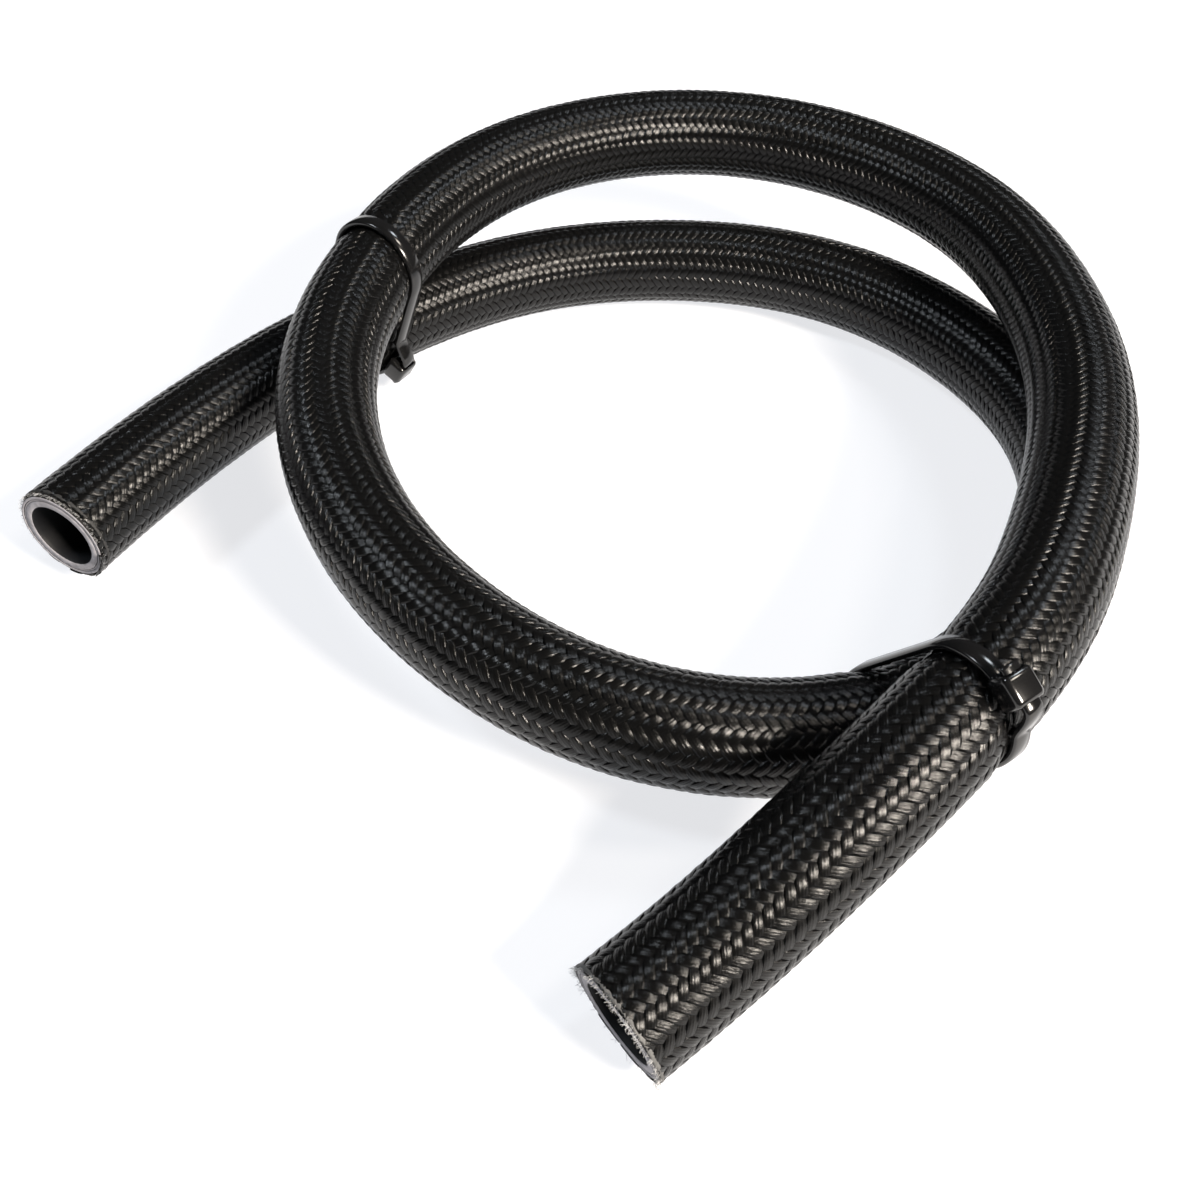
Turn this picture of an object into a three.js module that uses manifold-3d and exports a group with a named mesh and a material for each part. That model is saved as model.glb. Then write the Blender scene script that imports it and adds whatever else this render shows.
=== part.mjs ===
// A one metre length of nylon-braided hose with bare cut ends, looped about one and two thirds times
// and held where it crosses itself by two nylon cable ties. Millimetres, +Z up. The hose lies on the
// plane Z = 0, its two cut ends point roughly along -Y, and the origin is under the loop's middle.

import * as THREE from 'three';
import { NURBSCurve } from 'three/addons/curves/NURBSCurve.js';
import { mergeVertices } from 'three/addons/utils/BufferGeometryUtils.js';
import Module from 'manifold-3d';

const wasm = await Module();
wasm.setup();

// Hose, from the bore outwards. Each layer is a tube in the one around it, a hair apart.
const boreRadius = 7.1;
const hoseRadius = 10.25;
const linerThickness = 1.35;
const wireThickness = 0.35;
const coverThickness = 0.5;
const layerGap = 0.1;
const hoseSides = 10;
const hoseSteps = 56;

// The hose's route, one control point every 35 to 40 mm: X, Y and how far its underside is off the
// floor. It runs from the free end on the left under the loop, once round along the floor, up over
// its own start, round again on top, and down to the free end on the right.
const route = [
  [-69, -106, 5], [-77, -82, 5], [-84, -46, 5], [-86, -18, 3], [-84, 12, 2], [-74, 44, 0],
  [-44, 72, 1], [-8, 85, 1], [36, 78, 0], [68, 52, 0], [81, 6, 0], [77, -28, 3],
  [58, -56, 6], [26, -73, 10], [-19, -72, 13], [-59, -51, 19], [-82, -13, 24], [-90, 29, 27],
  [-75, 71, 27], [-40, 98, 25], [6, 99, 23], [40, 76, 22], [64, 47, 22], [81, 7, 23],
  [88, -21, 23], [84, -64, 14], [80, -82, 3], [77, -101, 0],
];

// Cable ties: a flat strap that passes once round both strands and through its own head.
const strapWidth = 3.6;
const strapThickness = 1.2;
const strapClearance = 1.25;
const slotClearance = 0.25;
const headLength = 6.2;
const headWidth = 6.0;
const headHeight = 4.8;
const slotRise = 2.9;
const strapRoot = 2.0;
const rampLength = 10;
const trimmedStub = 0.8;
const pawlWidth = 2.4;
const pocketWidth = 3.0;
const pocketFloor = 0.35;

// Where each tie sits: how far along the hose its lower and upper strands are, and where its head
// is, in degrees round the strand that the head rests on, from the tie's own X axis.
const ties = [
  { name: 'front_tie', lower: 394, upper: 922, headOn: 'upper', headAngle: 92 },
  { name: 'back_tie', lower: 89, upper: 587, headOn: 'lower', headAngle: -170 },
];

const colours = {
  liner: { color: 0x2b2b2d, roughness: 0.75, metalness: 0 },
  wire: { color: 0x9a9c9e, roughness: 0.35, metalness: 1 },
  cover: { color: 0x242425, roughness: 0.8, metalness: 0 },
  braid: { color: 0x151515, roughness: 0.45, metalness: 0 },
  tie: { color: 0x101011, roughness: 0.3, metalness: 0 },
};

function finish(name) {
  return new THREE.MeshStandardMaterial(colours[name]);
}

// The route as one smooth cubic curve that starts and ends at the first and last points.
function hoseCurve() {
  const degree = 3;
  const points = route.map(([x, y, lift]) => new THREE.Vector4(x, y, hoseRadius + lift, 1));
  const spans = points.length - degree;
  const knots = [];
  for (let i = 0; i < points.length + degree + 1; i++) {
    knots.push(THREE.MathUtils.clamp((i - degree) / spans, 0, 1));
  }
  const curve = new NURBSCurve(degree, knots, points);
  curve.arcLengthDivisions = 2000;
  return curve;
}

// A regular polygon round the hose's centreline.
function ring(PathType, radius) {
  const path = new PathType();
  for (let i = 0; i < hoseSides; i++) {
    const angle = (2 * Math.PI * i) / hoseSides;
    const x = radius * Math.cos(angle);
    const y = radius * Math.sin(angle);
    if (i === 0) path.moveTo(x, y);
    else path.lineTo(x, y);
  }
  path.closePath();
  return path;
}

function hoseLayer(curve, name, innerRadius, outerRadius, colour) {
  const section = ring(THREE.Shape, outerRadius);
  section.holes.push(ring(THREE.Path, innerRadius));
  const geometry = new THREE.ExtrudeGeometry(section, { steps: hoseSteps, extrudePath: curve });
  const mesh = new THREE.Mesh(geometry, finish(colour));
  mesh.name = name;
  return mesh;
}

// A tie's own frame: origin midway between the strands, Y from the lower strand to the upper one,
// Z along the strands.
function tieFrame(curve, tie) {
  const length = curve.getLength();
  const low = curve.getPointAt(tie.lower / length);
  const high = curve.getPointAt(tie.upper / length);
  const y = high.clone().sub(low);
  const spacing = y.length();
  y.normalize();
  const along = curve.getTangentAt(tie.lower / length).add(curve.getTangentAt(tie.upper / length));
  const x = y.clone().cross(along).normalize();
  const z = x.clone().cross(y);
  const place = new THREE.Matrix4().makeBasis(x, y, z);
  place.setPosition(low.add(high).multiplyScalar(0.5));
  return { spacing, place };
}

// The belt line that hugs both strands, as a point, direction and outward normal at a distance
// travelled anticlockwise from the upper strand's +X side.
function beltAt(distance, spacing) {
  const radius = hoseRadius + strapClearance + strapThickness / 2;
  const arc = Math.PI * radius;
  const lap = 2 * (arc + spacing);
  let left = ((distance % lap) + lap) % lap;
  if (left < arc) return onArc(left / radius, spacing / 2);
  left -= arc;
  if (left < spacing) return onSide(-radius, spacing / 2 - left, -1);
  left -= spacing;
  if (left < arc) return onArc(Math.PI + left / radius, -spacing / 2);
  return onSide(radius, left - arc - spacing / 2, 1);

  function onArc(angle, centreY) {
    const normal = new THREE.Vector2(Math.cos(angle), Math.sin(angle));
    const point = normal.clone().multiplyScalar(radius);
    point.y += centreY;
    return { point, normal, along: new THREE.Vector2(-normal.y, normal.x) };
  }

  function onSide(x, y, way) {
    return {
      point: new THREE.Vector2(x, y),
      normal: new THREE.Vector2(way, 0),
      along: new THREE.Vector2(0, way),
    };
  }
}

function headDistance(tie, spacing) {
  const radius = hoseRadius + strapClearance + strapThickness / 2;
  const angle = THREE.MathUtils.degToRad(tie.headAngle);
  if (tie.headOn === 'upper') return angle * radius;
  return radius * Math.PI + spacing + (Math.PI + angle) * radius;
}

// A flat outline in the tie's plane made into a slab that is centred on that plane.
function slab(outline, width) {
  const geometry = new THREE.ExtrudeGeometry(new THREE.Shape(outline), {
    depth: width,
    bevelEnabled: false,
  });
  geometry.translate(0, 0, -width / 2);
  return geometry;
}

// Points given as [along, outward] from the head's centre on the belt line.
function fromHead(head, points) {
  return points.map(([along, out]) =>
    head.point.clone().addScaledVector(head.along, along).addScaledVector(head.normal, out));
}

function box(head, [along0, along1], [out0, out1]) {
  return fromHead(head, [[along0, out0], [along1, out0], [along1, out1], [along0, out1]]);
}

// The strap's centreline: from inside the head, round both strands, up a ramp, straight through the
// slot and out to its trimmed end.
function strapOutline(head, start, spacing) {
  const radius = hoseRadius + strapClearance + strapThickness / 2;
  const lap = 2 * (Math.PI * radius + spacing);
  const stops = 34;
  const points = [];
  for (let i = 0; i <= stops; i++) {
    const travelled = THREE.MathUtils.lerp(strapRoot, lap - rampLength, i / stops);
    points.push(beltAt(start + travelled, spacing).point);
  }
  const half = headLength / 2;
  const entry = half + 1.5;
  const rampStops = 5;
  for (let i = 1; i < rampStops; i++) {
    const before = THREE.MathUtils.lerp(rampLength, entry, i / rampStops);
    const onBelt = beltAt(start - before, spacing).point;
    const [onSlotLine] = fromHead(head, [[-before, slotRise]]);
    points.push(onBelt.lerp(onSlotLine, THREE.MathUtils.smoothstep(i / rampStops, 0, 1)));
  }
  points.push(...fromHead(head, [
    [-entry, slotRise], [-half, slotRise], [0, slotRise], [half + trimmedStub, slotRise],
  ]));
  const line = new THREE.SplineCurve(points);
  const count = 96;
  const outer = [];
  const inner = [];
  for (let i = 0; i <= count; i++) {
    const point = line.getPoint(i / count);
    const across = line.getTangent(i / count).rotateAround(new THREE.Vector2(), -Math.PI / 2);
    outer.push(point.clone().addScaledVector(across, strapThickness / 2));
    inner.unshift(point.clone().addScaledVector(across, -strapThickness / 2));
  }
  return [...outer, ...inner];
}

function toSolid(geometry) {
  const bare = geometry.clone();
  bare.deleteAttribute('normal');
  bare.deleteAttribute('uv');
  const merged = mergeVertices(bare, 1e-4);
  return new wasm.Manifold(new wasm.Mesh({
    numProp: 3,
    vertProperties: merged.attributes.position.array,
    triVerts: new Uint32Array(merged.index.array),
  }));
}

function toGeometry(solid) {
  const mesh = solid.getMesh();
  const geometry = new THREE.BufferGeometry();
  geometry.setAttribute('position', new THREE.BufferAttribute(mesh.vertProperties, 3));
  geometry.setIndex(new THREE.BufferAttribute(mesh.triVerts, 1));
  geometry.computeVertexNormals();
  return geometry;
}

// Strap and head are one moulding. The slot lets the strap's end through, and the pocket under the
// slot holds the pawl.
function strapMesh(tie, head, start, spacing) {
  const half = headLength / 2;
  const bottom = -strapThickness / 2;
  const slotHalf = strapThickness / 2 + slotClearance;
  const strap = toSolid(slab(strapOutline(head, start, spacing), strapWidth));
  const block = toSolid(slab(box(head, [-half, half], [bottom, bottom + headHeight]), headWidth));
  const slotOutline = box(head, [-half - 1, half + 1], [slotRise - slotHalf, slotRise + slotHalf]);
  const slot = toSolid(slab(slotOutline, strapWidth + 2 * slotClearance));
  const pocket = toSolid(slab(box(head, [-half + 0.3, 1.9], [pocketFloor, slotRise]), pocketWidth));
  const solid = block.subtract(slot).subtract(pocket).add(strap);
  const mesh = new THREE.Mesh(toGeometry(solid), finish('tie'));
  mesh.name = `${tie.name}_strap`;
  return mesh;
}

// The pawl: a sloping tongue, hinged at its low end, whose toothed tip bears on the strap.
function pawlMesh(tie, head) {
  const outline = fromHead(head, [
    [-2.5, 0.6], [-1.9, 0.48], [1.1, 1.25], [1.1, 2.0], [0.75, 1.75], [0.4, 2.0], [0.05, 1.75],
    [-0.3, 1.98], [-2.4, 1.45],
  ]);
  const mesh = new THREE.Mesh(slab(outline, pawlWidth), finish('tie'));
  mesh.name = `${tie.name}_pawl`;
  return mesh;
}

function cableTie(curve, tie) {
  const { spacing, place } = tieFrame(curve, tie);
  const start = headDistance(tie, spacing);
  const head = beltAt(start, spacing);
  const group = new THREE.Group();
  group.add(strapMesh(tie, head, start, spacing), pawlMesh(tie, head));
  group.applyMatrix4(place);
  return group;
}

const curve = hoseCurve();
const wireInner = boreRadius + linerThickness + layerGap;
const coverInner = wireInner + wireThickness + layerGap;
const braidInner = coverInner + coverThickness + layerGap;
const hose = new THREE.Group();
hose.add(
  hoseLayer(curve, 'inner_tube', boreRadius, wireInner - layerGap, 'liner'),
  hoseLayer(curve, 'wire_braid', wireInner, coverInner - layerGap, 'wire'),
  hoseLayer(curve, 'rubber_cover', coverInner, braidInner - layerGap, 'cover'),
  hoseLayer(curve, 'nylon_braid', braidInner, hoseRadius, 'braid'),
  ...ties.map((tie) => cableTie(curve, tie)),
);

export default hose;
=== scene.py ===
"""The looks of a looped, nylon-braided hose held by two cable ties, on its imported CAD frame.

Metres, +Z up, in the same frame as the CAD. The hose's braid is made as its forty-eight real yarns.
"""
import math

import bmesh
import bpy
import numpy as np
from mathutils import Matrix, Vector


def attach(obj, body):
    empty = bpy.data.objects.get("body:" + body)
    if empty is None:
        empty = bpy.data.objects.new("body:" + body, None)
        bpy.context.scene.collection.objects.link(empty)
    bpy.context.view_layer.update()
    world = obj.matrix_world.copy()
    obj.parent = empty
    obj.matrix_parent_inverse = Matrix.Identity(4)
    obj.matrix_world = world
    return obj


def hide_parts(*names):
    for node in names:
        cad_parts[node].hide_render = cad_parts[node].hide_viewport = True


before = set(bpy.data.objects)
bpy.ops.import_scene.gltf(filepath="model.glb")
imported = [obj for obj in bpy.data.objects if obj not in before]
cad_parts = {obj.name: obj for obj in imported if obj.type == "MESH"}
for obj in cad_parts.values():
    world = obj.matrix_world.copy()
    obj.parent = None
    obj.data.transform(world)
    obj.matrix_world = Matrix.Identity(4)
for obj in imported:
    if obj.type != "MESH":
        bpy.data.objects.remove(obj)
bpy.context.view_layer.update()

MM = 0.001

# The hose's route, as in the CAD: X, Y and how far its underside is off the floor.
ROUTE = [
    (-0.069, -0.106, 0.005), (-0.077, -0.082, 0.005), (-0.084, -0.046, 0.005),
    (-0.086, -0.018, 0.003), (-0.084, 0.012, 0.002), (-0.074, 0.044, 0.000),
    (-0.044, 0.072, 0.001), (-0.008, 0.085, 0.001), (0.036, 0.078, 0.000),
    (0.068, 0.052, 0.000), (0.081, 0.006, 0.000), (0.077, -0.028, 0.003),
    (0.058, -0.056, 0.006), (0.026, -0.073, 0.010), (-0.019, -0.072, 0.013),
    (-0.059, -0.051, 0.019), (-0.082, -0.013, 0.024), (-0.090, 0.029, 0.027),
    (-0.075, 0.071, 0.027), (-0.040, 0.098, 0.025), (0.006, 0.099, 0.023),
    (0.040, 0.076, 0.022), (0.064, 0.047, 0.022), (0.081, 0.007, 0.023),
    (0.088, -0.021, 0.023), (0.084, -0.064, 0.014), (0.080, -0.082, 0.003),
    (0.077, -0.101, 0.000),
]
HOSE_RADIUS = 10.25 * MM
BORE_RADIUS = 7.1 * MM
LINER_RADIUS = 8.45 * MM
WIRE_INNER = 8.5 * MM
WIRE_OUTER = 8.9 * MM
COVER_INNER = 8.95 * MM
COVER_OUTER = 9.5 * MM

# Braid: 24 carriers wind each way, and each passes over two and under two.
CARRIERS = 24
BRAID_RADIUS = 9.86 * MM
BRAID_ANGLE = math.radians(50.4)
CROSSINGS_PER_WAVE = 4
YARN_HALF_WIDTH = 0.92 * MM
YARN_CROWN = 0.13 * MM
YARN_WAVE = 0.17 * MM
STEPS_PER_WAVE = 10
YARN_GROUP = 6

# A yarn is wider and rounder where it passes over. It strays a little in height, width and angle,
# each over its own number of steps.
WIDER_ON_TOP = 0.1
ROUNDER_ON_TOP = 0.25
HEIGHT_STRAY = 0.02 * MM
HEIGHT_STRAY_STEPS = 14
WIDTH_STRAY = 0.04
WIDTH_STRAY_STEPS = 9
ANGLE_STRAY = 0.006
ANGLE_STRAY_STEPS = 25

# Angles round the hose, as Centreline has them: one that is almost the top at both ends, and the
# upper left of the left end, where the braid has crept back most.
TOP_ANGLE = math.radians(255)
CREPT_ANGLE = math.radians(240)

# Cable ties: where each one's lower and upper strands are along the hose, and its head's angle
# round the strand that the head rests on.
TIES = {
    "front": {"lower": 0.394, "upper": 0.922, "head_on": "upper", "head_angle": 92},
    "back": {"lower": 0.089, "upper": 0.587, "head_on": "lower", "head_angle": -170},
}
STRAP_WIDTH = 3.6 * MM
STRAP_THICKNESS = 1.15 * MM
STRAP_RADIUS = 10.5 * MM
HEAD_LENGTH = 6.2 * MM
HEAD_WIDTH = 6.0 * MM
HEAD_HEIGHT = 4.8 * MM
HEAD_ROUNDING = 1.1 * MM
PAWL_HALF_WIDTH = 1.2 * MM
PAWL_ROUNDING = 0.06 * MM
CUT_ROUNDING = 0.1 * MM

# The slot's middle is this far out from the strap round the hose. The strap's tail ramps up to it,
# and a stub of the tail sticks out past the head.
SLOT_RISE = 2.9 * MM
SLOT_HALF_HEIGHT = 0.85 * MM
SLOT_CLEARANCE = 0.25 * MM
RAMP_LENGTH = 7.5 * MM
STUB = 0.8 * MM

# A tie squeezes away this share of the hose's radius, this far either way from its own plane, and
# only on the two lengths of hose that run through it.
PINCH = 0.06
PINCH_REACH = 4.2 * MM
STRAND_REACH = 20 * MM

FLOOR_HALF_WIDTH = 3.0

# The camera, as degrees round and above the hose, where azimuth 0 is on the -Y side.
EYE = (0.1338, -0.1632, 0.1852)
AZIMUTH, ELEVATION, ROLL = 44.14, 45.80, -0.15
LENS = 38.07

# Each light's azimuth and elevation in degrees, distance and side in metres, watts and colour.
WARM = (1.0, 0.91, 0.80)
COOL = (0.86, 0.93, 1.0)
LIGHTS = {
    "right_key": (92, 35, 1.1, 0.26, 36.0, WARM),
    "left_fill": (-45, 55, 1.2, 0.18, 5.0, COOL),
    "far_right": (135, 55, 1.2, 0.22, 4.0, WARM),
    "far": (180, 55, 1.2, 0.22, 3.0, COOL),
}
BACKDROP_COLOUR = (0.93, 0.96, 1.0, 1)
BACKDROP_LIGHT = 0.05
BACKDROP_LOOKS = 0.85

random = np.random.default_rng(7)


# ---------------------------------------------------------------- the hose's line

def clamped_spline(controls, samples):
    """Points on the cubic B-spline that starts and ends on its first and last control points."""
    degree = 3
    spans = len(controls) - degree
    knots = np.clip((np.arange(len(controls) + degree + 1) - degree) / spans, 0, 1)
    at = np.linspace(0, 1 - 1e-9, samples)[:, None]
    basis = ((knots[:-1] <= at) & (at < knots[1:])).astype(float)
    for d in range(1, degree + 1):
        rise = knots[d:-1] - knots[:-d - 1]
        fall = knots[d + 1:] - knots[1:-d]
        up = np.where(rise > 0, (at - knots[:-d - 1]) / np.where(rise > 0, rise, 1), 0)
        down = np.where(fall > 0, (knots[d + 1:] - at) / np.where(fall > 0, fall, 1), 0)
        basis = up * basis[:, :-1] + down * basis[:, 1:]
    return basis @ controls


def unit(vectors):
    return vectors / np.linalg.norm(vectors, axis=-1, keepdims=True)


class Centreline:
    """The hose's centreline, with a frame that is carried along it without twisting.

    A place on the hose is a distance along, an angle round and a radius. At the left end angle 0 is
    the +X side and 90 degrees is straight down.
    """

    def __init__(self, samples=4001):
        controls = np.array(ROUTE) + [0, 0, HOSE_RADIUS]
        self.points = clamped_spline(controls, samples)
        steps = np.linalg.norm(np.diff(self.points, axis=0), axis=1)
        self.distance = np.concatenate([[0], np.cumsum(steps)])
        self.length = self.distance[-1]
        self.tangents = unit(np.gradient(self.points, self.distance, axis=0))
        self.sides = self.carried_sides()
        self.ups = np.cross(self.tangents, self.sides)

    def carried_sides(self):
        side = unit(np.cross(self.tangents[0], [0, 0, 1]))
        sides = [side]
        for tangent in self.tangents[1:]:
            side = unit(side - side.dot(tangent) * tangent)
            sides.append(side)
        return np.array(sides)

    def look_up(self, table, along):
        """Rows of points, tangents, sides or ups at distances along."""
        return np.stack([np.interp(along, self.distance, column) for column in table.T], -1)

    def centre(self, along):
        """The centre at a distance along, carrying straight on past either end."""
        inside = np.clip(along, 0, self.length)
        beyond = (along - inside)[..., None]
        return self.look_up(self.points, inside) + beyond * self.look_up(self.tangents, inside)

    def outward(self, along, angle):
        """The direction straight out of the hose at an angle round it."""
        side = self.look_up(self.sides, along)
        up = self.look_up(self.ups, along)
        return np.cos(angle)[..., None] * side + np.sin(angle)[..., None] * up

    def place(self, along, angle, radius):
        """World points on the hose, drawn in a little where a cable tie grips it."""
        centre = self.centre(along)
        out = self.outward(along, angle)
        point = centre + radius[..., None] * out
        grip = sum(tie.grip(along, point) for tie in ties)
        return centre + (radius * (1 - PINCH * grip))[..., None] * out

    def place_beyond(self, along, angle, radius):
        """As place, for points that may lie a little past either end."""
        out = self.outward(np.clip(along, 0, self.length), angle)
        return self.centre(along) + np.asarray(radius)[..., None] * out


class Tie:
    """A tie's flat frame: origin between the strands, y from the lower strand to the upper one."""

    def __init__(self, lower, upper, head_on, head_angle):
        self.lower = lower
        self.upper = upper
        low = line.centre(np.array(lower))
        high = line.centre(np.array(upper))
        self.origin = (low + high) / 2
        self.spacing = np.linalg.norm(high - low)
        self.y = unit(high - low)
        strands = line.look_up(line.tangents, lower) + line.look_up(line.tangents, upper)
        self.x = unit(np.cross(self.y, strands))
        self.z = np.cross(self.x, self.y)
        angle = math.radians(head_angle)
        arc = math.pi * STRAP_RADIUS
        if head_on == "upper":
            self.start = angle * STRAP_RADIUS
        else:
            self.start = arc + self.spacing + (math.pi + angle) * STRAP_RADIUS
        self.lap = 2 * (arc + self.spacing)

    def grip(self, along, point):
        """How hard the tie squeezes a point, from 0 to 1. Only its own two strands feel it."""
        off_plane = (point - self.origin) @ self.z
        reach = np.exp(-(off_plane / PINCH_REACH) ** 4)
        near_low = np.abs(along - self.lower) < STRAND_REACH
        near_high = np.abs(along - self.upper) < STRAND_REACH
        return reach * (near_low | near_high)

    def belt(self, travelled):
        """The point and outward normal at a distance anticlockwise from the upper strand's +x side."""
        arc = math.pi * STRAP_RADIUS
        left = travelled % self.lap
        half = self.spacing / 2
        if left < arc:
            normal = self.direction(left / STRAP_RADIUS)
            return normal * STRAP_RADIUS + [0, half], normal
        left -= arc
        if left < self.spacing:
            return np.array([-STRAP_RADIUS, half - left]), np.array([-1.0, 0.0])
        left -= self.spacing
        if left < arc:
            normal = self.direction(math.pi + left / STRAP_RADIUS)
            return normal * STRAP_RADIUS - [0, half], normal
        return np.array([STRAP_RADIUS, left - arc - half]), np.array([1.0, 0.0])

    @staticmethod
    def direction(angle):
        return np.array([math.cos(angle), math.sin(angle)])

    def world(self, flat, depth):
        """World points from flat [x, y] points and their depths along z."""
        flat = np.asarray(flat)
        depth = np.asarray(depth)[..., None]
        return self.origin + flat[..., :1] * self.x + flat[..., 1:] * self.y + depth * self.z

    def head_matrix(self):
        """Local X runs along the strap at the head, Y outward and Z across the strap."""
        point, normal = self.belt(self.start)
        outward = normal[0] * self.x + normal[1] * self.y
        along = -normal[1] * self.x + normal[0] * self.y
        rotation = Matrix([along, outward, np.cross(along, outward)]).transposed()
        return Matrix.Translation(self.world(point, 0)) @ rotation.to_4x4()


line = Centreline()
ties = [Tie(**facts) for facts in TIES.values()]


# ---------------------------------------------------------------- meshes

def add_mesh(name, points, faces, material, uvs=None):
    """A smooth mesh on the hose, from points and faces that all have as many corners."""
    mesh = bpy.data.meshes.new(name)
    mesh.vertices.add(len(points))
    mesh.vertices.foreach_set("co", np.asarray(points, np.float32).ravel())
    faces = np.asarray(faces, np.int32)
    mesh.loops.add(faces.size)
    mesh.loops.foreach_set("vertex_index", faces.ravel())
    mesh.polygons.add(len(faces))
    mesh.polygons.foreach_set("loop_start", np.arange(0, faces.size, faces.shape[1], dtype=np.int32))
    mesh.polygons.foreach_set("loop_total", np.full(len(faces), faces.shape[1], np.int32))
    mesh.polygons.foreach_set("use_smooth", np.full(len(faces), True))
    if uvs is not None:
        layer = mesh.uv_layers.new(name="UVMap")
        layer.data.foreach_set("uv", np.asarray(uvs, np.float32).ravel())
    mesh.update(calc_edges=True)
    mesh.validate()
    return add_object(name, mesh, material)


def add_object(name, mesh, material, body="hose"):
    piece = bpy.data.objects.new(name, mesh)
    bpy.context.scene.collection.objects.link(piece)
    if material:
        mesh.materials.append(material)
    if body:
        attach(piece, body)
    return piece


def grid_faces(rings, sides, closed_rings=False):
    """Quads between rings of points, each ring closed on itself."""
    ring = np.arange(rings if closed_rings else rings - 1)[:, None]
    side = np.arange(sides)[None, :]
    after = (ring + 1) % rings
    beside = (side + 1) % sides
    corners = [ring * sides + side, ring * sides + beside, after * sides + beside,
               after * sides + side]
    return np.stack([np.broadcast_to(c, (len(ring), sides)) for c in corners], -1).reshape(-1, 4)


# ---------------------------------------------------------------- materials

class Material:
    """A node material with short calls for adding nodes and joining them."""

    def __init__(self, name, **settings):
        self.material = bpy.data.materials.new(name)
        self.material.use_nodes = True
        self.tree = self.material.node_tree
        self.shader = self.tree.nodes["Principled BSDF"]
        for socket, value in settings.items():
            self.shader.inputs[socket.replace("_", " ")].default_value = value

    def node(self, kind, inputs=(), **settings):
        made = self.tree.nodes.new(kind)
        for key, value in settings.items():
            setattr(made, key, value)
        for key, value in dict(inputs).items():
            if isinstance(value, bpy.types.NodeSocket):
                self.tree.links.new(value, made.inputs[key])
            else:
                made.inputs[key].default_value = value
        return made

    def math(self, operation, *values):
        return self.node("ShaderNodeMath", dict(enumerate(values)), operation=operation).outputs[0]

    def noise(self, vector, scale, detail=2.0):
        inputs = {"Vector": vector, "Scale": scale, "Detail": detail}
        return self.node("ShaderNodeTexNoise", inputs).outputs["Fac"]

    def blend(self, factor, low, high):
        ramp = self.node("ShaderNodeValToRGB", {"Fac": factor})
        ramp.color_ramp.elements[0].color = (*low, 1)
        ramp.color_ramp.elements[1].color = (*high, 1)
        return ramp.outputs["Color"]

    def bump(self, height, strength, distance):
        inputs = {"Height": height, "Strength": strength, "Distance": distance}
        self.set("Normal", self.node("ShaderNodeBump", inputs).outputs["Normal"])

    def set(self, socket, value):
        self.tree.links.new(value, self.shader.inputs[socket])

    def object_point(self):
        return self.node("ShaderNodeTexCoord").outputs["Object"]


def yarn_material():
    """Black nylon multifilament: its highlights spread across the filaments and stay short along
    them, so one set of floats lights up while the other, lying the other way, stays dark."""
    m = Material("nylon_yarn", Roughness=0.22, Specular_IOR_Level=0.24, Anisotropic=0.5,
                 Anisotropic_Rotation=0.25)
    uv = m.node("ShaderNodeTexCoord").outputs["UV"]
    along = m.node("ShaderNodeTangent", direction_type="UV_MAP", uv_map="UVMap")
    m.set("Tangent", along.outputs["Tangent"])
    across = m.node("ShaderNodeSeparateXYZ", {"Vector": uv}).outputs["Y"]
    bundles = 5
    ends = m.math("SINE", m.math("MULTIPLY", across, 2 * math.pi * bundles))
    stretched = m.node("ShaderNodeMapping", {"Vector": uv, "Scale": (0.5, 34, 1)}).outputs[0]
    filaments = m.noise(stretched, 1.0, 3.0)
    height = m.math("ADD", m.math("MULTIPLY", ends, 0.25), filaments)
    m.bump(height, 0.45, 0.1 * MM)
    m.set("Base Color", m.blend(filaments, (0.001, 0.001, 0.001), (0.004, 0.004, 0.004)))
    return m.material


def rubber_material(name, dark, light, roughness):
    m = Material(name, Roughness=roughness, Specular_IOR_Level=0.2)
    point = m.object_point()
    grain = m.noise(point, 900.0, 3.0)
    m.set("Base Color", m.blend(m.noise(point, 160.0), dark, light))
    m.bump(grain, 0.3, 0.1 * MM)
    return m.material


def cut_rubber_material():
    """Where a blade went through the rubber: pale, dusty and dragged."""
    m = Material("cut_rubber", Roughness=0.85)
    point = m.object_point()
    dust = m.noise(point, 700.0, 4.0)
    m.set("Base Color", m.blend(dust, (0.09, 0.088, 0.096), (0.40, 0.39, 0.42)))
    m.bump(m.noise(point, 1500.0, 3.0), 0.6, 0.15 * MM)
    return m.material


def wire_material():
    m = Material("steel_wire", Metallic=1.0, Roughness=0.38)
    point = m.object_point()
    m.set("Base Color", m.blend(m.noise(point, 600.0), (0.3, 0.3, 0.3), (0.62, 0.62, 0.62)))
    return m.material


def tie_material():
    """Black moulded nylon: smooth, with a soft gloss and faint flow marks."""
    m = Material("tie_nylon", Roughness=0.16, Specular_IOR_Level=0.5)
    point = m.object_point()
    flow = m.noise(point, 260.0, 2.0)
    m.set("Base Color", m.blend(flow, (0.003, 0.003, 0.0032), (0.006, 0.006, 0.0063)))
    m.bump(m.noise(point, 1400.0, 2.0), 0.12, 0.05 * MM)
    return m.material


def fluff_material():
    """Cut and split filament ends, which look pale because light goes through them."""
    m = Material("cut_filament", Roughness=0.45)
    shade = m.noise(m.object_point(), 500.0, 1.0)
    m.set("Base Color", m.blend(shade, (0.08, 0.08, 0.08), (0.75, 0.75, 0.76)))
    return m.material


def crushed_material(name, palest):
    """Nylon crushed by the saw: mostly dull dark grey, with pale dusty patches."""
    m = Material(name, Roughness=0.7)
    point = m.object_point()
    patches = m.noise(point, 420.0, 4.0)
    m.set("Base Color", m.blend(patches, (0.003, 0.003, 0.003), (palest, palest, palest)))
    m.bump(m.noise(point, 2600.0, 3.0), 0.8, 0.1 * MM)
    return m.material


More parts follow.
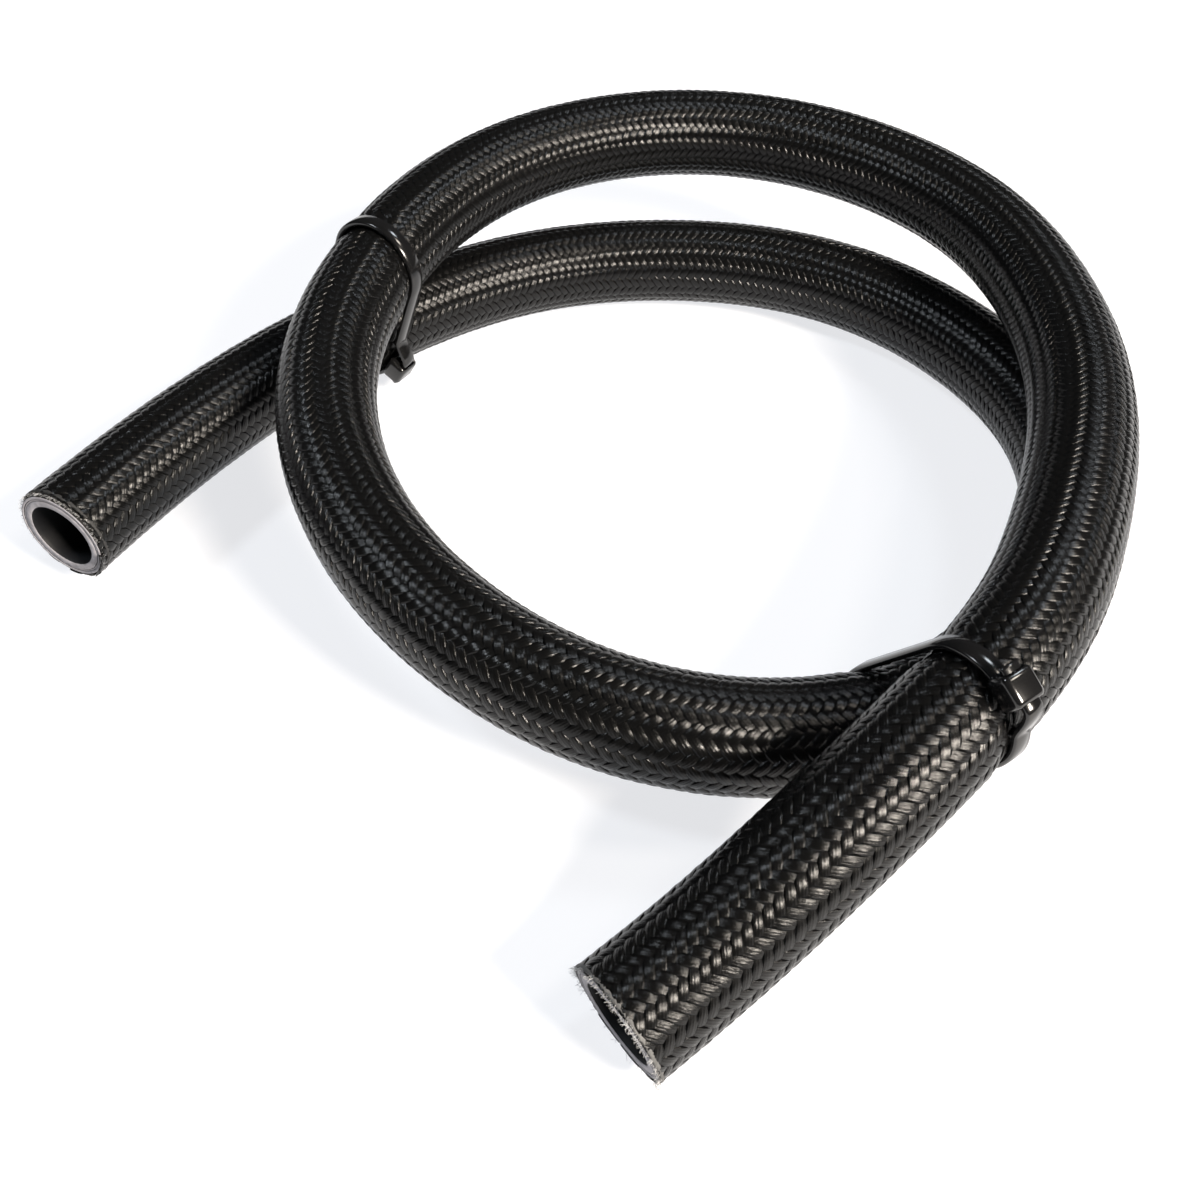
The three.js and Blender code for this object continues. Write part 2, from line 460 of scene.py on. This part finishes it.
def floor_material():
    """A white floor that glows, so that shadows on it stay faint."""
    m = Material("white_floor", Roughness=0.6, Base_Color=(0.3, 0.3, 0.305, 1),
                 Emission_Color=(0.96, 0.97, 1.0, 1), Emission_Strength=0.78)
    return m.material


# ---------------------------------------------------------------- the hose

def tube(name, inner, outer, start, end, material, cut_material, sides=56, step=2.0 * MM):
    """A closed tube along the hose, with its cut edges slightly rounded."""
    rounding = 0.12 * MM
    near = 1 * MM
    regular = 3 * MM
    along = np.arange(start + regular, end - regular, step)
    first = [start + rounding, start + near]
    last = [end - near, end - rounding]
    stops = np.concatenate([first, along, last])
    outer_wall = [(s, outer) for s in stops]
    end_face = [(end, outer - rounding), (end, inner + rounding)]
    inner_wall = [(s, inner) for s in stops[::-1]]
    start_face = [(start, inner + rounding), (start, outer - rounding)]
    profile = np.array(outer_wall + end_face + inner_wall + start_face)
    angle = np.arange(sides) * 2 * np.pi / sides
    points = line.place(
        np.repeat(profile[:, :1], sides, 1), np.tile(angle, (len(profile), 1)),
        np.repeat(profile[:, 1:], sides, 1))
    faces = grid_faces(len(profile), sides, closed_rings=True)
    piece = add_mesh(name, points.reshape(-1, 3), faces, material)
    piece.data.materials.append(cut_material)
    ring = np.arange(len(profile))
    first_cut = len(outer_wall) - 1
    second_cut = len(outer_wall) + len(end_face) + len(inner_wall) - 1
    cut = ((ring >= first_cut) & (ring <= first_cut + 2)) | (ring >= second_cut)
    piece.data.polygons.foreach_set("material_index", np.repeat(cut, sides).astype(np.int32))
    piece.data.update()
    return piece


def wander(samples, steps_apart, size):
    """A random path with a knot every few steps, to keep a yarn from being perfectly regular."""
    knots = random.normal(0, size, max(4, int(samples / steps_apart)))
    return np.interp(np.linspace(0, len(knots) - 1, samples), np.arange(len(knots)), knots)


def yarn(index, way, start, end):
    """One flat yarn of the braid, as rings of points, and its length so far at each ring."""
    twist = math.tan(BRAID_ANGLE) / BRAID_RADIUS
    crossing = math.pi / (CARRIERS * twist)
    step = crossing * CROSSINGS_PER_WAVE / STEPS_PER_WAVE
    along = np.arange(start - YARN_HALF_WIDTH, end + YARN_HALF_WIDTH + step, step)
    angle = 2 * np.pi * index / CARRIERS + way * twist * along
    # Over two and under two: the two ways are offset so that one is high where the other is low.
    count = along / crossing
    phase = count + 2 * index - 0.5 if way > 0 else count - 2 * index + 2.5
    height = np.cos(phase * 2 * np.pi / CROSSINGS_PER_WAVE)
    samples = len(along)
    radius = BRAID_RADIUS + YARN_WAVE * height + wander(samples, HEIGHT_STRAY_STEPS, HEIGHT_STRAY)
    stray = wander(samples, WIDTH_STRAY_STEPS, WIDTH_STRAY)
    half_width = YARN_HALF_WIDTH * (1 + WIDER_ON_TOP * height) * (1 + stray)
    crown = YARN_CROWN * (1 + ROUNDER_ON_TOP * height)
    angle = angle + wander(samples, ANGLE_STRAY_STEPS, ANGLE_STRAY)
    # A lens with a rounded top and a shallow V below, in half widths across and crowns up.
    section = np.array([[-1, 0], [-0.62, 0.74], [0, 1], [0.62, 0.74], [1, 0], [0, -0.7]])
    # The yarn's width lies across it, so it is split between going round and going along.
    sideways = half_width[:, None] * section[:, 0]
    round_shift = sideways * math.cos(BRAID_ANGLE) / radius[:, None]
    along_shift = -way * sideways * math.sin(BRAID_ANGLE)
    # What passes the cut is drawn back along the yarn to it.
    reach = along[:, None] + along_shift
    cut = np.clip(reach, start, end)
    turned = angle[:, None] + round_shift - way * twist * (reach - cut)
    points = line.place(cut, turned, radius[:, None] + crown[:, None] * section[:, 1])
    return points, along / math.cos(BRAID_ANGLE)


def cut_off(number):
    """Where one yarn starts and ends. The braid has crept back at the left cut, most of all on the
    upper left, and a few yarns there hang past the lower right edge."""
    angle = 2 * math.pi * number / CARRIERS
    usual, swing, stray = 0.75, 0.7, 0.3
    crept = usual + swing * math.cos(angle - CREPT_ANGLE) + random.uniform(-stray, stray)
    hangs = math.radians(5) < angle < math.radians(40)
    if hangs:
        crept = random.uniform(-1.1, -0.5)
    short = random.uniform(-0.2, 0.6)
    return crept * MM, line.length - short * MM


def yarn_group(name, numbers, way, material):
    """Several yarns that wind the same way, as one mesh."""
    # U runs along the yarn in millimetres. V is 0 to 1 over its top and 1 to 2 back underneath.
    across = np.array([0, 0.25, 0.5, 0.75, 1.0, 1.5, 2.0])
    all_points, all_faces, all_uvs = [], [], []
    used = 0
    for number in numbers:
        start, end = cut_off(number)
        points, travelled = yarn(number, way, start, end)
        rings, sides = points.shape[:2]
        faces = grid_faces(rings, sides)
        u = travelled / MM
        v0 = np.tile(across[:-1], rings - 1)
        v1 = np.tile(across[1:], rings - 1)
        u0 = np.repeat(u[:-1], sides)
        u1 = np.repeat(u[1:], sides)
        uvs = np.stack([np.stack([u0, v0], 1), np.stack([u0, v1], 1), np.stack([u1, v1], 1),
                        np.stack([u1, v0], 1)], 1)
        all_points.append(points.reshape(-1, 3))
        all_faces.append(faces + used)
        all_uvs.append(uvs.reshape(-1, 2))
        used += rings * sides
    return add_mesh(name, np.concatenate(all_points), np.concatenate(all_faces), material,
                    uvs=np.concatenate(all_uvs))


def braid(material):
    groups = []
    for way, letter in ((1, "s"), (-1, "z")):
        for first in range(0, CARRIERS, YARN_GROUP):
            numbers = range(first, first + YARN_GROUP)
            name = f"braid_{letter}_{first // YARN_GROUP + 1}"
            groups.append(yarn_group(name, numbers, way, material))
    return groups


def cut_rim(name, at, way, material):
    """The sawn edge of the braid: a rough ring of crushed yarn ends round the cover."""
    sides = 240
    radii = np.array([9.42, 9.6, 9.85, 10.1, 10.2, 10.05]) * MM
    back = np.array([0.45, 0.02, -0.06, 0.02, 0.22, 0.7]) * MM
    ragged = 0.07 * MM
    uneven = 0.04 * MM
    angle = np.tile(np.arange(sides) * 2 * np.pi / sides, (len(radii), 1))
    along = at + way * (back[:, None] + random.normal(0, ragged, (len(radii), sides)))
    radius = radii[:, None] + random.normal(0, uneven, (len(radii), sides))
    points = line.place_beyond(along, angle, radius)
    return add_mesh(name, points.reshape(-1, 3), grid_faces(len(radii), sides), material)


def fringe(name, at, way, count, longest, material):
    """Fine filaments standing out of the cut braid, most of them on top, each a thin bent tube."""
    steps = 5
    sides = 3
    spread = math.radians(75)
    rooted = 0.3 * MM
    not_along_any = [0.31, 0.2, 0.93]
    share = np.linspace(0, 1, steps)
    all_points, all_faces = [], []
    for number in range(count):
        angle = random.normal(TOP_ANGLE, spread)
        length = longest * random.uniform(0.2, 1) ** 2
        out = random.uniform(-0.15, 0.55) * length
        turn = random.normal(0, 0.5) * length / HOSE_RADIUS
        along = at - way * (length * share - rooted)
        radius = random.uniform(9.6, 10.15) * MM + out * share ** 2
        spine = line.place_beyond(along, angle + turn * share ** 1.5, radius)
        thickness = random.uniform(0.018, 0.04) * MM
        ring = np.arange(sides) * 2 * np.pi / sides
        tangent = unit(np.gradient(spine, axis=0))
        side = unit(np.cross(tangent, not_along_any))
        up = np.cross(tangent, side)
        tube_points = spine[:, None] + thickness * (
            np.cos(ring)[None, :, None] * side[:, None] + np.sin(ring)[None, :, None] * up[:, None])
        all_faces.append(grid_faces(steps, sides) + number * steps * sides)
        all_points.append(tube_points.reshape(-1, 3))
    return add_mesh(name, np.concatenate(all_points), np.concatenate(all_faces), material)


def curl(name, at, angle, material):
    """One filament that has curled up into a tiny ring at the corner of the cut."""
    turns = 24
    sides = 6
    ring_radius = 0.42 * MM
    thickness = 0.07 * MM
    middle = line.place_beyond(np.array(at), np.array(angle), HOSE_RADIUS)
    across = line.look_up(line.tangents, line.length)
    upward = line.outward(np.array(at), np.array(angle))
    travelled = np.linspace(0, 2 * np.pi, turns, endpoint=False)
    out = np.cos(travelled)[:, None] * across + np.sin(travelled)[:, None] * upward
    side = np.cross(across, upward)
    around = np.linspace(0, 2 * np.pi, sides, endpoint=False)
    wall = np.cos(around)[None, :, None] * out[:, None] + np.sin(around)[None, :, None] * side
    points = middle + ring_radius * out[:, None] + thickness * wall
    return add_mesh(name, points.reshape(-1, 3), grid_faces(turns, sides, closed_rings=True), material)


def cut_ends():
    """What the saw left at both ends of the braid. The right end is the more frayed one."""
    clean = crushed_material("crushed_nylon", 0.02)
    dusty = crushed_material("dusty_nylon", 0.14)
    fluff = fluff_material()
    end = line.length
    return [
        cut_rim("left_rim", 1.2 * MM, 1, clean),
        cut_rim("right_rim", end - 0.1 * MM, -1, dusty),
        fringe("left_fringe", 0.4 * MM, 1, 300, 1.0 * MM, fluff),
        fringe("right_fringe", end, -1, 620, 1.2 * MM, fluff),
        curl("right_curl", end + 0.3 * MM, math.radians(150), fluff),
    ]


def hose_pieces():
    cut = cut_rubber_material()
    rubber = rubber_material("liner_rubber", (0.003, 0.0032, 0.004), (0.008, 0.0085, 0.01), 0.6)
    skim = rubber_material("cover_rubber", (0.006, 0.006, 0.006), (0.014, 0.014, 0.014), 0.75)
    end = line.length
    inset = 0.1 * MM
    liner = tube("liner", BORE_RADIUS, LINER_RADIUS, 0, end, rubber, cut)
    wire = tube("wire_layer", WIRE_INNER, WIRE_OUTER, inset, end - inset, wire_material(), cut)
    cover = tube("cover", COVER_INNER, COVER_OUTER, 0, end, skim, cut)
    yarns = braid(yarn_material())
    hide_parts("inner_tube")
    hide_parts("wire_braid")
    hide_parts("rubber_cover")
    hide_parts("nylon_braid")
    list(cut_ends())


# ---------------------------------------------------------------- the cable ties

def strap_path(tie):
    """Points and normals from inside the head, round both strands and out through the slot."""
    step = 0.45 * MM
    points = []
    for travelled in np.arange(0, tie.lap - RAMP_LENGTH, step):
        point, _ = tie.belt(tie.start + travelled)
        points.append(point)
    centre, outward = tie.belt(tie.start)
    along = np.array([-outward[1], outward[0]])
    entry = HEAD_LENGTH / 2 + 0.4 * MM
    for before in np.arange(RAMP_LENGTH, -HEAD_LENGTH / 2 - STUB, -step):
        on_belt, _ = tie.belt(tie.start - before)
        on_slot = centre - before * along + SLOT_RISE * outward
        share = np.clip((RAMP_LENGTH - before) / (RAMP_LENGTH - entry), 0, 1)
        share = share * share * (3 - 2 * share)
        points.append(on_belt * (1 - share) + on_slot * share)
    points = np.array(points)
    ways = unit(np.gradient(points, axis=0))
    return points, np.stack([ways[:, 1], -ways[:, 0]], -1)


def strap(name, tie, material):
    """A flat strap with rounded edges, and a rack of teeth down the middle of its inner face."""
    points, normals = strap_path(tie)
    half = STRAP_WIDTH / 2
    thick = STRAP_THICKNESS / 2
    edge = 0.3 * MM
    crown = 0.05 * MM
    rack = half * 0.6
    tooth_height = 0.22 * MM
    section = np.array([
        [-half, -thick + edge], [-half, thick - edge], [-half + edge, thick], [0, thick + crown],
        [half - edge, thick], [half, thick - edge], [half, -thick + edge], [half - edge, -thick],
        [rack, -thick], [-rack, -thick], [-half + edge, -thick],
    ])
    teeth = np.where(np.abs(section[:, 0]) == rack, tooth_height, 0)
    tooth = (np.arange(len(points)) % 2)[:, None] * teeth
    out = section[:, 1] + tooth
    flat = points[:, None, :] + out[..., None] * normals[:, None, :]
    depth = np.broadcast_to(section[:, 0], out.shape)
    world = tie.world(flat, depth).reshape(-1, 3)
    sides = len(section)
    mesh = bpy.data.meshes.new(name)
    faces = grid_faces(len(points), sides).tolist()
    faces.append(list(range(sides))[::-1])
    faces.append([len(world) - sides + k for k in range(sides)])
    mesh.from_pydata(world.tolist(), [], faces)
    mesh.polygons.foreach_set("use_smooth", [True] * len(mesh.polygons))
    mesh.update()
    return add_object(name, mesh, material)


def extruded(name, outline, half_width, place, material, rounding, body):
    """A flat outline, made half_width thick each way, with its edges rounded."""
    form = bmesh.new()
    bottom = [form.verts.new((x, y, -half_width)) for x, y in outline]
    face = form.faces.new(bottom)
    grown = bmesh.ops.extrude_face_region(form, geom=[face])
    moved = [v for v in grown["geom"] if isinstance(v, bmesh.types.BMVert)]
    bmesh.ops.translate(form, verts=moved, vec=(0, 0, 2 * half_width))
    bmesh.ops.recalc_face_normals(form, faces=form.faces)
    bmesh.ops.bevel(form, geom=form.edges[:], offset=rounding, segments=4, profile=0.5,
                    affect="EDGES", clamp_overlap=True)
    mesh = bpy.data.meshes.new(name)
    form.to_mesh(mesh)
    form.free()
    mesh.transform(place)
    mesh.polygons.foreach_set("use_smooth", [True] * len(mesh.polygons))
    return add_object(name, mesh, material, body)


def cut_out(piece, outline, half_width, place):
    """Cuts a prism out of a piece."""
    cutter = extruded("cutter", outline, half_width, place, None, CUT_ROUNDING, None)
    change = piece.modifiers.new("cut", "BOOLEAN")
    change.object = cutter
    change.operation = "DIFFERENCE"
    change.solver = "EXACT"
    bpy.context.view_layer.update()
    seen = piece.evaluated_get(bpy.context.evaluated_depsgraph_get())
    piece.data = bpy.data.meshes.new_from_object(seen)
    piece.modifiers.clear()
    bpy.data.objects.remove(cutter)


def rectangle(x0, x1, y0, y1):
    return [(x0, y0), (x1, y0), (x1, y1), (x0, y1)]


def head(name, tie, material):
    """The tie's head: a tapered, rounded block with a slot through it and a pocket for the pawl."""
    half = HEAD_LENGTH / 2
    base = -STRAP_THICKNESS / 2
    top = base + HEAD_HEIGHT
    place = tie.head_matrix()
    entry_taper = 0.3 * MM
    exit_taper = 0.5 * MM
    outline = [(-half, base), (half, base), (half - exit_taper, top), (-half + entry_taper, top)]
    piece = extruded(name, outline, HEAD_WIDTH / 2, place, material, HEAD_ROUNDING, "hose")
    past = half + 1 * MM
    slot = rectangle(-past, past, SLOT_RISE - SLOT_HALF_HEIGHT, SLOT_RISE + SLOT_HALF_HEIGHT)
    cut_out(piece, slot, STRAP_WIDTH / 2 + SLOT_CLEARANCE, place)
    pocket_start = -half + 0.3 * MM
    pocket_end = 1.9 * MM
    pocket_base = 0.35 * MM
    pocket_half_width = 1.5 * MM
    pocket = rectangle(pocket_start, pocket_end, pocket_base, SLOT_RISE)
    cut_out(piece, pocket, pocket_half_width, place)
    return piece


def pawl(name, tie, material, body):
    """The locking tongue: a springy wedge with three teeth that point at the strap."""
    outline = [(-2.2, 0.62), (-1.8, 0.52), (1.1, 1.25), (1.1, 2.0), (0.75, 1.75), (0.4, 2.0),
               (0.05, 1.75), (-0.3, 1.98), (-2.15, 1.4)]
    outline = [(x * MM, y * MM) for x, y in outline]
    place = tie.head_matrix()
    return extruded(name, outline, PAWL_HALF_WIDTH, place, material, PAWL_ROUNDING, body)


def cable_ties():
    material = tie_material()
    for name, tie in zip(TIES, ties):
        band = strap(f"{name}_strap", tie, material)
        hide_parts(f"{name}_tie_strap")
        head(f"{name}_head", tie, material)
        tongue = pawl(f"{name}_tongue", tie, material, f"{name}_pawl")
        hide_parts(f"{name}_tie_pawl")


# ---------------------------------------------------------------- camera, floor and light

def camera():
    data = bpy.data.cameras.new("camera")
    data.sensor_width = 36
    data.lens = LENS
    data.clip_start = 0.01
    data.clip_end = 20
    azimuth, elevation, roll = (math.radians(a) for a in (AZIMUTH, ELEVATION, ROLL))
    forward = Vector((-math.sin(azimuth) * math.cos(elevation),
                      math.cos(azimuth) * math.cos(elevation), -math.sin(elevation)))
    eye = bpy.data.objects.new("camera", data)
    eye.location = EYE
    turn = Matrix.Rotation(roll, 4, forward)
    eye.rotation_euler = (turn @ forward.to_track_quat("-Z", "Y").to_matrix().to_4x4()).to_euler()
    bpy.context.scene.collection.objects.link(eye)
    bpy.context.scene.camera = eye


def floor():
    mesh = bpy.data.meshes.new("floor")
    half = FLOOR_HALF_WIDTH
    mesh.from_pydata([(-half, -half, 0), (half, -half, 0), (half, half, 0), (-half, half, 0)], [],
                     [(0, 1, 2, 3)])
    add_object("floor", mesh, floor_material(), None)


def soft_light(name, azimuth, elevation, distance, size, power, colour):
    """A square light that looks at the hose from an azimuth, where 0 is the -Y side."""
    data = bpy.data.lights.new(name, "AREA")
    data.shape = "SQUARE"
    data.size = size
    data.energy = power
    data.color = colour
    a, e = math.radians(azimuth), math.radians(elevation)
    away = Vector((math.sin(a) * math.cos(e), -math.cos(a) * math.cos(e), math.sin(e)))
    lamp = bpy.data.objects.new(name, data)
    lamp.location = away * distance
    lamp.rotation_euler = away.to_track_quat("Z", "Y").to_euler()
    bpy.context.scene.collection.objects.link(lamp)


def lighting():
    scene = bpy.context.scene
    scene.view_settings.view_transform = "Standard"
    world = bpy.data.worlds.new("studio")
    world.use_nodes = True
    back = world.node_tree.nodes["Background"]
    back.inputs["Color"].default_value = BACKDROP_COLOUR
    # The backdrop looks pale, but sheds little light, so that the black nylon keeps its contrast.
    looked_at = world.node_tree.nodes.new("ShaderNodeLightPath").outputs["Is Camera Ray"]
    strength = world.node_tree.nodes.new("ShaderNodeMapRange")
    strength.inputs["To Min"].default_value = BACKDROP_LIGHT
    strength.inputs["To Max"].default_value = BACKDROP_LOOKS
    world.node_tree.links.new(looked_at, strength.inputs["Value"])
    world.node_tree.links.new(strength.outputs["Result"], back.inputs["Strength"])
    scene.world = world
    for name, facts in LIGHTS.items():
        soft_light(name, *facts)


camera()
hose_pieces()
cable_ties()
floor()
lighting()
